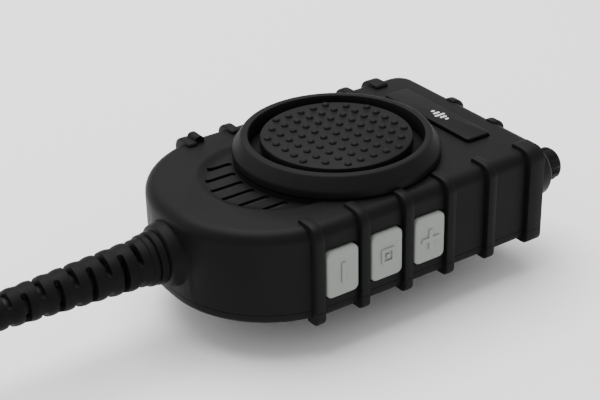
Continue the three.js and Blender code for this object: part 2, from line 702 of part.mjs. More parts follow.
function clipLever() {
  const plate = extrude(roundedRectangle(thumbX - jawX, 22, 3), [0, 2.2], { curveSegments: 2 })
    .translate((thumbX + jawX) / 2, 0, 0);
  const ears = sides.map((side) => box(
    [pivotX - 3, pivotX + 3], [side * 7.2 - 0.9, side * 7.2 + 0.9], [2, 7.4],
  ));
  const jawTeeth = [0, 1, 2].map((index) => box(
    [jawX + index * 3, jawX + index * 3 + 1.6], [-10, 10], [2, 6.3 - index * 1.2],
  ));
  return cut(join(plate, ...ears, ...jawTeeth), rod('y', 1.4, [-20, 20], [pivotX, 0, pivotZ], 16));
}

part('clip_base', clipBase(), 'darkPlastic');
part('clip_lever', clipLever(), 'darkPlastic');
part('clip_pin', rod('y', 1.1, [-11, 11], [pivotX, 0, pivotZ], 16), 'steel');
part('clip_spring', tube(new Helix(2.1, 9, 4), 0.45, 40, 5)
  .rotateX(-Math.PI / 2).translate(pivotX, -4.5, pivotZ), 'steel');
part('clip_washer', tubeRing('z', 3.3, 6.4, [parting + gap, 14.2], [0, 0, 0], 24), 'steel');
part('clip_retaining_ring', tubeRing('z', 2.8, 4.6, [14.55, 15.05], [0, 0, 0], 20), 'steel');

export default group;
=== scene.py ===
"""A rugged hand microphone: the visible pieces, their finishes and a plain studio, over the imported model."""
import json
import math

import bpy
import bmesh
from mathutils import Matrix, Vector


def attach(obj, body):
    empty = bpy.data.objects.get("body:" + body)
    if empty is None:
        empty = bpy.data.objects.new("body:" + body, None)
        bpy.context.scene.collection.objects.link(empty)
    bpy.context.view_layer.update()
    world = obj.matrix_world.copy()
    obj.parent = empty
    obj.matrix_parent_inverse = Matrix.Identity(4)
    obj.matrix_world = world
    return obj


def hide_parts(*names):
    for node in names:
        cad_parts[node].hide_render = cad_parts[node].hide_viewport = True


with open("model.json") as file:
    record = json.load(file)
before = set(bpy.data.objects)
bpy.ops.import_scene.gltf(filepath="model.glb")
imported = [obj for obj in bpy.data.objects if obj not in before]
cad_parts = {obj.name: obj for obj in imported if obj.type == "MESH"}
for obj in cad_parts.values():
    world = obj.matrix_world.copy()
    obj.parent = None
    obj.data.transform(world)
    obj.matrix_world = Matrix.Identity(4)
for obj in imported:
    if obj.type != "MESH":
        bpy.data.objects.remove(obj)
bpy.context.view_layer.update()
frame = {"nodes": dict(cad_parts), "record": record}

bl_info = {
    "name": "Hand Microphone",
    "version": (1, 0, 0),
    "blender": (4, 5, 0),
    "location": "3D View > Sidebar > Microphone",
    "description": "Models the visible pieces of a rugged hand microphone and gives them their finishes",
    "category": "Object",
}

MM = 0.001


def linear(code):
    """Linear colour from an sRGB hex code."""
    def channel(value):
        return value / 12.92 if value <= 0.04045 else ((value + 0.055) / 1.055) ** 2.4
    return tuple(channel(int(code[at:at + 2], 16) / 255) for at in (1, 3, 5))


def length(name, description, default):
    """A size property, given in millimetres and kept in metres."""
    return bpy.props.FloatProperty(
        name=name, description=description, default=default * MM,
        subtype="DISTANCE", unit="LENGTH", precision=5,
    )


def colour(name, description, code):
    """A colour property from an sRGB hex code."""
    return bpy.props.FloatVectorProperty(
        name=name, description=description, default=linear(code),
        subtype="COLOR", size=3, min=0.0, max=1.0,
    )


class MicrophoneSizes(bpy.types.PropertyGroup):
    """Sizes of the case and its fittings."""
    cable_end: length("Cable end", "Place of the rounded end along the case", -53.6)
    top_end: length("Top end", "Place of the square end along the case", 45.1)
    half_width: length("Half width", "Half the case's width without its ribs", 31.3)
    end_radius: length("End radius", "Radius of the rounded end's corners", 29.2)
    corner_radius: length("Corner radius", "Radius of the square end's corners", 6.0)
    front_face: length("Front face", "Height of the front face", 36.0)
    rear_face: length("Rear face", "Height of the rear face", 11.0)
    parting: length("Parting line", "Height where the rear cover meets the housing", 13.6)
    edge_radius: length("Front edge radius", "Rounding of the front face's edge", 3.3)
    wall: length("Wall", "Thickness of the case's wall", 2.2)
    rib_pitch: length("Rib pitch", "Distance between neighbouring side ribs", 13.53)
    first_rib: length("First rib", "Place of the rib nearest the cable end", -29.9)
    rib_width: length("Rib width", "Width of a side rib", 2.7)
    rib_proud: length("Rib height", "How far a side rib stands out", 1.6)
    button_x: length("Button place", "Place of the talk button along the case", -1.5)
    button_radius: length("Button radius", "Radius of the talk button", 20.0)
    stud_pitch: length("Stud pitch", "Distance between neighbouring studs", 4.02)
    recess_x: length("Recess place", "Place of the speaker recess along the case", -21.0)
    recess_radius: length("Recess radius", "Radius of the speaker recess at the face", 19.5)
    boss_y: length("Socket place", "Place of the accessory socket across the case", -20.5)
    axis_height: length("Lead height", "Height of the lead and the accessory socket", 23.6)
    lead_radius: length("Lead radius", "Radius of the lead", 3.0)


class MicrophoneColours(bpy.types.PropertyGroup):
    """Colours of the finishes."""
    case: colour("Case", "Moulded case plastic", "#121213")
    button: colour("Button", "Talk button rubber", "#121213")
    keys: colour("Keys", "Side key plastic", "#868b85")
    rubber: colour("Rubber", "Boot, cap and seal rubber", "#121213")
    plate: colour("Plate", "Label plate", "#0e0e0f")
    icon: colour("Icon", "Printed icon on the label plate", "#c9cacb")
    clip: colour("Clip", "Glass-filled clip plastic", "#121213")
    floor: colour("Floor", "Studio floor", "#ffffff")


def sizes():
    return bpy.context.scene.microphone_sizes


def colours():
    return bpy.context.scene.microphone_colours


# ---------------------------------------------------------------- modelling by hand, in millimetres

def deselect():
    """Leaves nothing selected, and Blender in object mode."""
    if bpy.context.object and bpy.context.object.mode != "OBJECT":
        bpy.ops.object.mode_set(mode="OBJECT")
    bpy.ops.object.select_all(action="DESELECT")


def activate(piece):
    """Makes one piece the only selected and active object."""
    deselect()
    piece.select_set(True)
    bpy.context.view_layer.objects.active = piece
    return piece


def added(name):
    """The primitive that was just added, named."""
    piece = bpy.context.object
    piece.name = name
    piece.data.name = name
    return piece


def settle(piece):
    """Puts a piece's place, turn and scale into its mesh."""
    activate(piece)
    bpy.ops.object.transform_apply(location=True, rotation=True, scale=True)
    return piece


def block(name, x, y, z):
    """A block between two places on each axis, in millimetres."""
    deselect()
    bpy.ops.mesh.primitive_cube_add(
        size=1, location=[(a + b) / 2 for a, b in (x, y, z)], scale=[b - a for a, b in (x, y, z)],
    )
    return settle(added(name))


def pick(piece, test):
    """Selects the edges whose end points pass a test, in millimetres."""
    activate(piece)
    bpy.ops.object.mode_set(mode="EDIT")
    bpy.ops.mesh.select_mode(type="EDGE")
    bpy.ops.mesh.select_all(action="DESELECT")
    for edge in bmesh.from_edit_mesh(piece.data).edges:
        if test([vert.co for vert in edge.verts]):
            edge.select_set(True)
    bmesh.update_edit_mesh(piece.data)


def finish_edit():
    """Goes back to object mode."""
    bpy.ops.object.mode_set(mode="OBJECT")


def round_edges(piece, test, width, segments=4):
    """Rounds the edges that pass a test, to a width in millimetres."""
    pick(piece, test)
    bpy.ops.mesh.bevel(
        offset_type="OFFSET", offset=width, segments=segments, profile=0.5, clamp_overlap=True,
    )
    finish_edit()
    return piece


def along(axis):
    """A test for edges that run along one axis."""
    others = [at for at in range(3) if at != axis]
    return lambda points: all(abs(points[0][at] - points[1][at]) < 1e-4 for at in others)


def level(axis, value):
    """A test for edges that lie at one level of an axis."""
    return lambda points: all(abs(point[axis] - value) < 1e-3 for point in points)


def both(*tests):
    """A test that passes when all the others do."""
    return lambda points: all(test(points) for test in tests)


AXES = {"X": (0.0, math.pi / 2, 0.0), "Y": (-math.pi / 2, 0.0, 0.0), "Z": (0.0, 0.0, 0.0)}


def turned(name, profile, at=(0, 0, 0), axis="Z", segments=96):
    """A turned piece: a circle drawn out step by step along (radius, station) pairs in millimetres.
    A profile whose last step equals its first closes on itself, and any other gets flat ends."""
    deselect()
    ring = profile[0] == profile[-1]
    steps = profile[:-1] if ring else profile
    radius, station = steps[0]
    bpy.ops.mesh.primitive_circle_add(vertices=segments, radius=radius, location=(0, 0, station))
    piece = settle(added(name))
    bpy.ops.object.mode_set(mode="EDIT")
    bpy.ops.mesh.select_mode(type="EDGE")
    bpy.ops.mesh.select_all(action="SELECT")
    if not ring:
        bpy.ops.mesh.edge_face_add()
    for (r0, z0), (r1, z1) in zip(steps, steps[1:]):
        bpy.ops.mesh.extrude_region_move(TRANSFORM_OT_translate={"value": (0, 0, z1 - z0)})
        bpy.ops.transform.resize(value=(r1 / r0, r1 / r0, 1), center_override=(0, 0, z1))
    if ring:
        bpy.ops.mesh.select_all(action="DESELECT")
        mesh = bmesh.from_edit_mesh(piece.data)
        for edge in mesh.edges:
            edge.select_set(edge.is_boundary)
        bmesh.update_edit_mesh(piece.data)
        bpy.ops.mesh.bridge_edge_loops()
    bpy.ops.mesh.select_all(action="SELECT")
    bpy.ops.mesh.normals_make_consistent(inside=False)
    finish_edit()
    piece.rotation_euler = AXES[axis]
    piece.location = at
    return settle(piece)


def combine(piece, tools, how="DIFFERENCE", keep=False):
    """Joins or cuts a piece with others, which are used up."""
    for tool in tools if isinstance(tools, (list, tuple)) else [tools]:
        activate(piece)
        change = piece.modifiers.new("Combine", "BOOLEAN")
        change.operation = how
        change.solver = "EXACT"
        change.object = tool
        bpy.ops.object.modifier_apply(modifier=change.name)
        if not keep:
            bpy.data.objects.remove(tool, do_unlink=True)
    return piece


def merge(name, pieces):
    """Makes one object of several, each part still closed by itself."""
    deselect()
    for piece in pieces:
        piece.select_set(True)
    bpy.context.view_layer.objects.active = pieces[0]
    bpy.ops.object.join()
    return added(name)


def copy_of(piece, x, y):
    """A copy with its own mesh, moved in millimetres."""
    twin = piece.copy()
    twin.data = piece.data.copy()
    bpy.context.scene.collection.objects.link(twin)
    twin.location = (x, y, 0)
    return settle(twin)


SMOOTH_ANGLE = 32


def smooth(piece):
    """Shades smooth where faces meet gently, and cleans what the cuts leave."""
    activate(piece)
    bpy.ops.object.mode_set(mode="EDIT")
    bpy.ops.mesh.select_all(action="SELECT")
    bpy.ops.mesh.remove_doubles(threshold=0.002)
    bpy.ops.mesh.dissolve_degenerate(threshold=0.001)
    finish_edit()
    bpy.ops.object.shade_smooth_by_angle(angle=math.radians(SMOOTH_ANGLE))
    return piece


def soften(piece, width, segments, angle):
    """Takes the sharpness off the edges, as a mould does."""
    activate(piece)
    change = piece.modifiers.new("Soften", "BEVEL")
    change.width = width
    change.segments = segments
    change.limit_method = "ANGLE"
    change.angle_limit = math.radians(angle)
    bpy.ops.object.modifier_apply(modifier=change.name)
    return piece


def fit(piece, body, finish, slot, *stands_for):
    """Takes a piece to metres, and gives it its finish, its body and the nodes that it stands for."""
    if piece.type == "MESH":
        piece.scale = (MM, MM, MM)
        settle(piece)
    piece.data.materials.clear()
    piece.data.materials.append(finish)
    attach(piece, body)
    if stands_for:
        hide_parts(*stands_for)
    return piece


# ---------------------------------------------------------------- finishes

def add(tree, kind, settings=None, links=None):
    """Adds a node with its settings, its input values and its links."""
    node = tree.nodes.new(kind)
    for key, value in (settings or {}).items():
        if key in node.inputs:
            node.inputs[key].default_value = value
        else:
            setattr(node, key, value)
    for key, source in (links or {}).items():
        tree.links.new(source, node.inputs[key])
    return node


def moulded(name, base, roughness, grain, depth, mottle=0.12, coarse=14.0, **shader):
    """A finish with fine grain and slow changes of tone.

    The grain's size and depth and the width of a patch of tone, `coarse`, are in millimetres. Real grain is
    finer than it is drawn here, so that it still shows from a hand's breadth away.
    """
    material = bpy.data.materials.new(name)
    material.use_nodes = True
    tree = material.node_tree
    surface = tree.nodes["Principled BSDF"]
    place = add(tree, "ShaderNodeTexCoord")
    at = {"Vector": place.outputs["Object"]}
    slow = add(tree, "ShaderNodeTexNoise", {"Scale": 1 / (coarse * MM), "Detail": 3.0}, at)
    fine = add(tree, "ShaderNodeTexNoise", {"Scale": 1 / (grain * MM), "Detail": 2.0}, at)
    tone = add(tree, "ShaderNodeMix", {"data_type": "RGBA"}, {"Factor": slow.outputs["Fac"]})
    tone.inputs["A"].default_value = (*[value * (1 - mottle) for value in base], 1)
    tone.inputs["B"].default_value = (*[min(1, value * (1 + mottle)) for value in base], 1)
    polish = add(tree, "ShaderNodeMapRange", {
        "From Min": 0.3, "From Max": 0.7, "To Min": roughness - 0.05, "To Max": roughness + 0.05,
    }, {"Value": slow.outputs["Fac"]})
    relief = add(tree, "ShaderNodeBump", {
        "Strength": 0.5, "Distance": depth * MM,
    }, {"Height": fine.outputs["Fac"]})
    tree.links.new(tone.outputs["Result"], surface.inputs["Base Color"])
    tree.links.new(polish.outputs["Result"], surface.inputs["Roughness"])
    tree.links.new(relief.outputs["Normal"], surface.inputs["Normal"])
    for key, value in shader.items():
        surface.inputs[key.replace("_", " ")].default_value = value
    return material


FINISHES = {}


def make_finishes():
    """The object's finishes, by the names of the real materials."""
    tint = colours()
    # ABS blend from a spark-eroded mould: matt, with an even grain that swallows nearly all of the gloss.
    FINISHES["case"] = moulded(
        "Spark-eroded ABS blend", tint.case, 0.48, 0.45, 0.02, Specular_IOR_Level=0.07,
    )
    # Silicone rubber from a finely etched mould: soft, with a broad dull sheen.
    FINISHES["button"] = moulded(
        "Moulded silicone rubber", tint.button, 0.5, 0.6, 0.01, mottle=0.08, Specular_IOR_Level=0.08,
    )
    # Two-shot ABS keys: light grey and satin.
    FINISHES["keys"] = moulded(
        "Satin moulded ABS", tint.keys, 0.48, 0.5, 0.008, mottle=0.03, Specular_IOR_Level=0.2,
    )
    # Thermoplastic elastomer of the boot and the cap: matt, with a cloudy, dry bloom.
    FINISHES["rubber"] = moulded(
        "Moulded thermoplastic elastomer", tint.rubber, 0.5, 0.5, 0.012, mottle=0.15, Specular_IOR_Level=0.06,
    )
    # Satin polycarbonate inlay: nearly smooth, as dark as the case.
    FINISHES["plate"] = moulded(
        "Satin polycarbonate", tint.plate, 0.42, 1.2, 0.003, mottle=0.04, Specular_IOR_Level=0.07,
    )
    # Screen-printed ink: flat and even.
    FINISHES["icon"] = moulded("Screen-printed ink", tint.icon, 0.5, 0.3, 0.003, mottle=0.02)
    # Glass-filled nylon: small cloudy patches where the fibres lie under a matt skin.
    FINISHES["clip"] = moulded(
        "Moulded glass-filled nylon", tint.clip, 0.5, 0.8, 0.02, mottle=0.2, coarse=6.0,
        Specular_IOR_Level=0.12,
    )
    # Extruded polyurethane: smooth, a little shinier than the boot.
    FINISHES["jacket"] = moulded(
        "Extruded polyurethane jacket", tint.rubber, 0.42, 0.4, 0.006, Specular_IOR_Level=0.15,
    )
    # Woven nylon strap: rough and dull, with uneven threads.
    FINISHES["strap"] = moulded(
        "Woven nylon strap", linear("#1d1d1f"), 0.85, 0.5, 0.12, mottle=0.3, coarse=1.2,
    )
    # Zinc-plated steel: pale, with a soft shine.
    FINISHES["steel"] = moulded(
        "Zinc-plated steel", linear("#a9abad"), 0.34, 0.25, 0.004, mottle=0.06, Metallic=1.0,
    )
    # Blackened woven steel behind the slots: dull, a little lighter than the case.
    FINISHES["mesh"] = moulded(
        "Blackened steel mesh", linear("#2b2b2d"), 0.6, 0.3, 0.03, Specular_IOR_Level=0.2,
    )
    # Nickel-plated brass pins: bright turned metal.
    FINISHES["pins"] = moulded(
        "Nickel-plated brass", linear("#c4c3bd"), 0.22, 0.2, 0.003, mottle=0.04, Metallic=1.0,
    )
    # Turned brass: warm and bright.
    FINISHES["brass"] = moulded(
        "Turned brass", linear("#c7a14a"), 0.3, 0.2, 0.004, mottle=0.08, Metallic=1.0,
    )
    # Glass epoxy under green solder mask: glossy, with the weave showing faintly.
    FINISHES["board"] = moulded(
        "Solder-masked glass epoxy", linear("#1f5a35"), 0.35, 0.9, 0.01, mottle=0.15, coarse=4.0,
    )
    # Pressed paper cone: fibrous and dull.
    FINISHES["paper"] = moulded(
        "Pressed paper", linear("#3a3834"), 0.9, 0.4, 0.04, mottle=0.2, coarse=2.0,
    )
    # Grey silicone of the key mat: even and dull.
    FINISHES["mat"] = moulded("Grey silicone rubber", linear("#6f7276"), 0.65, 0.5, 0.01)
    # PVC wire insulation: red, smooth and slightly glossy.
    FINISHES["wire"] = moulded("Extruded PVC insulation", linear("#8f2f2a"), 0.35, 0.4, 0.004)


# ---------------------------------------------------------------- shapes of this object

def case_block(name, inset, bottom, top):
    """A block with the plan of the case, drawn in by an inset."""
    size = sizes()
    x = (size.cable_end / MM + inset, size.top_end / MM - inset)
    half = size.half_width / MM - inset
    body = block(name, x, (-half, half), (bottom, top))
    round_edges(body, both(along(2), level(0, x[0])), size.end_radius / MM - inset, 20)
    round_edges(body, both(along(2), level(0, x[1])), max(size.corner_radius / MM - inset, 1.0), 8)
    return body


RIB_COUNT = 6
NEAR_CORNER_RIB = (39.4, 2.55)
FAR_CORNER_RIB = (32.95, 2.1)


def rib_place(side, index):
    """Middle and half width of a rib: the corner ribs are broader, and the far side's last two stand back."""
    size = sizes()
    if index == RIB_COUNT - 1:
        return NEAR_CORNER_RIB if side < 0 else FAR_CORNER_RIB
    back = 1.2 if side > 0 and index == RIB_COUNT - 2 else 0
    return (size.first_rib + index * size.rib_pitch) / MM - back, size.rib_width / MM / 2


def ribs(bottom, top, inner, low_round, high_round):
    """The side ribs of both sides, between two heights, as one tool each."""
    size = sizes()
    outer = (size.half_width + size.rib_proud) / MM
    made = []
    for index in range(RIB_COUNT):
        for side in (-1, 1):
            middle, half = rib_place(side, index)
            across = (-outer, -inner) if side < 0 else (inner, outer)
            rib = block("Rib", (middle - half, middle + half), across, (bottom, top))
            if high_round:
                round_edges(rib, both(level(1, side * outer), level(2, top)), high_round, 6)
                round_edges(rib, both(level(1, side * inner), level(2, top)), 0.8, 3)
            if low_round:
                round_edges(rib, both(level(1, side * outer), level(2, bottom)), low_round, 4)
            for edge in (middle - half, middle + half):
                round_edges(rib, level(0, edge), 0.4, 2)
            made.append(rib)
    return made


def cylinder(name, radius, low, high, at=(0, 0, 0), axis="Z", segments=64):
    """A plain round tool between two stations of its axis."""
    return turned(name, [(radius, low), (radius, high)], at, axis, segments)


class MICROPHONE_OT_stage(bpy.types.Operator):
    """Adds the camera, the floor and the soft studio light"""
    bl_idname = "microphone.stage"
    bl_label = "Stage"

    def execute(self, context):
        scene = context.scene
        lens = bpy.data.cameras.new("Camera")
        lens.lens = 88.84
        lens.sensor_width = 36
        lens.clip_start = 0.01
        camera = bpy.data.objects.new("Camera", lens)
        scene.collection.objects.link(camera)
        right = Vector((0.8216438, -0.56963367, -0.02046837))
        up = Vector((0.28538967, 0.38003312, 0.87984519))
        back = Vector((-0.49341079, -0.72876081, 0.47481942))
        place = Matrix((right, up, back)).transposed().to_4x4()
        place.translation = Vector((-204.128, -281.743, 209.056)) * MM
        camera.matrix_world = place
        scene.camera = camera
        deselect()
        bpy.ops.mesh.primitive_plane_add(size=6)
        floor = added("Floor")
        paper = bpy.data.materials.new("Matt white paper")
        paper.use_nodes = True
        surface = paper.node_tree.nodes["Principled BSDF"]
        surface.inputs["Base Color"].default_value = (*colours().floor, 1)
        surface.inputs["Roughness"].default_value = 0.9
        floor.data.materials.append(paper)
        sky = bpy.data.worlds.new("Studio")
        sky.use_nodes = True
        sky.node_tree.nodes["Background"].inputs["Color"].default_value = (1, 1, 1, 1)
        sky.node_tree.nodes["Background"].inputs["Strength"].default_value = 0.8
        scene.world = sky
        lamps = [
            ("Top_light", (0.0, 0.28, 0.95), 1.0, 17.0),
            ("Side_light", (-0.7, 0.5, 0.5), 0.6, 1.4),
        ]
        for name, at, span, power in lamps:
            lamp = bpy.data.lights.new(name, "AREA")
            lamp.size = span
            lamp.energy = power
            panel = bpy.data.objects.new(name, lamp)
            scene.collection.objects.link(panel)
            panel.location = at
            panel.rotation_euler = (Vector((0, 0, 0.02)) - Vector(at)).to_track_quat("-Z", "Y").to_euler()
        return {"FINISHED"}


LEAD_START = -48.0
BOOT_TIP = -112.0
BEND_RADIUS = 80.0
BEND_ANGLE = math.pi / 6
COIL_TURN = 39.0
COIL_INNER = 25.0
COIL_CLEAR = 21.9
COIL = (
    BOOT_TIP - 0.5 - (BEND_RADIUS + COIL_TURN) * math.sin(BEND_ANGLE),
    BEND_RADIUS * (1 - math.cos(BEND_ANGLE)) - COIL_TURN * math.cos(BEND_ANGLE),
)
LAYERS = (3.9, 10.0)
TAIL_START = COIL[0] + COIL_CLEAR
RELIEF_END = TAIL_START + 35
PLUG_FACE = RELIEF_END + 26
PLUG_Y = COIL[1] - COIL_TURN + 11
PLUG_Z = 5.0


def ease(start, end, t):
    """A value that leaves its start and meets its end gently."""
    return start + (end - start) * (1 - math.cos(math.pi * t)) / 2


def around(turn, reach):
    """A place round the coil's middle, by turns from +X."""
    angle = turn * math.tau
    return COIL[0] + reach * math.cos(angle), COIL[1] + reach * math.sin(angle)


def lead_route():
    """The lead's middle line: out of the boot, sinking sideways into the coil, and on to the plug."""
    axis = sizes().axis_height / MM
    low, high = LAYERS
    points = [(LEAD_START + (BOOT_TIP - LEAD_START) * step / 6, 0, axis) for step in range(6)]
    for step in range(12):
        t = step / 12
        x = BOOT_TIP - 0.5 - BEND_RADIUS * math.sin(BEND_ANGLE * t)
        y = BEND_RADIUS * (1 - math.cos(BEND_ANGLE * t))
        points.append((x, y, ease(axis, high, t)))
    first = (math.pi / 2 - BEND_ANGLE) / math.tau
    turns = (4.75 - first) / 2
    climb = 80 / 360
    count = round(24 * turns)
    for step in range(count + 1):
        turn = turns * step / count
        points.append((*around(first + turn, COIL_TURN + (COIL_INNER - COIL_TURN) * turn / turns), high))
    for step in range(1, count + 1):
        turn = turns * step / count
        grow = max(0, (turn - climb) / (turns - climb))
        reach = COIL_INNER + (COIL_TURN - COIL_INNER) * grow
        points.append((*around(first + turns + turn, reach), ease(high, low, min(1, turn / climb))))
    points.append((COIL[0] + COIL_CLEAR / 2, COIL[1] - COIL_TURN, low))
    for step in range(9):
        t = step / 8
        x = TAIL_START + (RELIEF_END - TAIL_START) * t
        points.append((x, ease(COIL[1] - COIL_TURN, PLUG_Y, t), ease(low, PLUG_Z, t)))
    points.append((RELIEF_END + 6, PLUG_Y, PLUG_Z))
    return points


class MICROPHONE_OT_lead(bpy.types.Operator):
    """Winds the lead and models the plug on its end"""
    bl_idname = "microphone.lead"
    bl_label = "Lead and plug"

    def execute(self, context):
        route = lead_route()
        line = bpy.data.curves.new("Lead", "CURVE")
        line.dimensions = "3D"
        line.bevel_depth = sizes().lead_radius
        line.bevel_resolution = 5
        line.resolution_u = 4
        line.use_fill_caps = True
        spline = line.splines.new("BEZIER")
        spline.bezier_points.add(len(route) - 1)
        for knot, point in zip(spline.bezier_points, route):
            knot.co = Vector(point) * MM
            knot.handle_left_type = "AUTO"
            knot.handle_right_type = "AUTO"
        lead = bpy.data.objects.new("Lead", line)
        context.scene.collection.objects.link(lead)
        fit(lead, "case", FINISHES["jacket"], "cord_jacket", "cord", "cord_coil", "cord_tail")
        faces = (PLUG_Z - 4.4, PLUG_Z + 4.4)
        grip = block("Plug_moulding", (PLUG_FACE - 14, PLUG_FACE), (PLUG_Y - 11, PLUG_Y + 11), faces)
        round_edges(grip, along(2), 3.0, 6)
        for height in faces:
            round_edges(grip, level(2, height), 0.9, 3)
        grooves = []
        for index in range(3):
            x = PLUG_FACE - 5 - index * 2.4
            for z in faces:
                groove = block("Groove", (x - 0.5, x + 0.5), (PLUG_Y - 7, PLUG_Y + 7), (z - 0.5, z + 0.5))
                grooves.append(groove)
        combine(grip, grooves)
        neck = [(3.3, RELIEF_END), (4.2, RELIEF_END)]
        for index in range(4):
            x = RELIEF_END + 1.4 + index * 2.8
            reach = 4.2 + 0.6 * (index + 1) / 4
            neck += [(reach, x), (reach - 0.7, x + 0.1), (reach - 0.7, x + 1.1), (reach, x + 1.2)]
        neck += [(4.8, PLUG_FACE - 13), (3.3, PLUG_FACE - 13), (3.3, RELIEF_END)]
        relief = turned("Plug relief", neck, (0, PLUG_Y, PLUG_Z), "X", 48)
        bore = cylinder("Bore", 3.3, RELIEF_END - 1, PLUG_FACE - 10, (0, PLUG_Y, PLUG_Z), "X", 48)
        combine(grip, bore)
        combine(grip, relief, "UNION")
        for side in (-1, 1):
            at = (0, PLUG_Y + side * 5.7, PLUG_Z)
            combine(grip, cylinder("Pin hole", 1.3, PLUG_FACE - 6, PLUG_FACE + 1, at, "X", 32))
        plug = smooth(grip)
        fit(plug, "case", FINISHES["rubber"], "plug_rubber", "plug_body")
        boot = build_boot()
        return {"FINISHED"}


BOOT_ROOT = -56.8
BOOT_ROOT_RADIUS = 6.4
BOOT_TIP_RADIUS = 3.8
BOOT_WINDOWS = [-63.6 - 4.25 * index for index in range(11)]
# How the sleeve swells between two windows: steps back from a window, and how far it stands out there.
BOOT_LUMP = ((0.8, -0.07), (0, -0.16), (-0.8, -0.07), (-1.5, 0.06), (-2.125, 0.1), (-2.75, 0.06))


def build_boot():
    """The strain relief: rings at its root, then a tapered sleeve with windows on alternate sides."""
    axis = sizes().axis_height / MM
    root = BOOT_ROOT

    def taper(x):
        return BOOT_ROOT_RADIUS + (BOOT_TIP_RADIUS - BOOT_ROOT_RADIUS) * (x - root) / (BOOT_TIP - root)

    lumps = []
    for waist in BOOT_WINDOWS:
        for back, swell in BOOT_LUMP:
            lumps.append((taper(waist + back) + swell, waist + back))
    lumps.reverse()
    profile = [
        (3.3, BOOT_TIP), (taper(BOOT_TIP) - 0.3, BOOT_TIP), (taper(BOOT_TIP), BOOT_TIP + 0.4),
        *lumps, (taper(root - 4), root - 4), (6.6, root - 3.7), (6.7, root - 2.5), (6.4, root - 2.2),
        (6.1, root - 2.1), (6.1, root - 1.9), (6.7, root - 1.7), (6.9, root - 1.4), (6.9, root),
        (4.9, root), (4.9, -50.2), (6.6, -50.2), (6.6, -48.6), (3.3, -48.6), (3.3, BOOT_TIP),
    ]
    boot = turned("Boot_moulding", profile, (0, 0, axis), "X", 64)
    windows = []
    for index, x in enumerate(BOOT_WINDOWS):
        for near, far in ((2, 9), (-9, -2)):
            across = (near, far) if index % 2 else (-9, 9)
            low, high = (-9, 9) if index % 2 else (near, far)
            window = block("Window", (x - 0.8, x + 0.8), across, (axis + low, axis + high))
            bottom = min((near, far), key=abs)
            round_edges(window, level(1, bottom) if index % 2 else level(2, axis + bottom), 0.78, 4)
            windows.append(window)
    combine(boot, windows)
    soften(boot, 0.3, 3, 50)
    smooth(boot)
    return fit(boot, "case", FINISHES["rubber"], "boot_rubber", "strain_relief")


END_RIBS = (-10, 6.9)
CASE_SCREWS = ((24, 25), (24, -25), (-34.5, 23.5), (-34.5, -23.5))
SLOT_ROWS = [(row - 2.5) * 5.2 for row in range(6)]
PLATE = (33.04, 1.2)


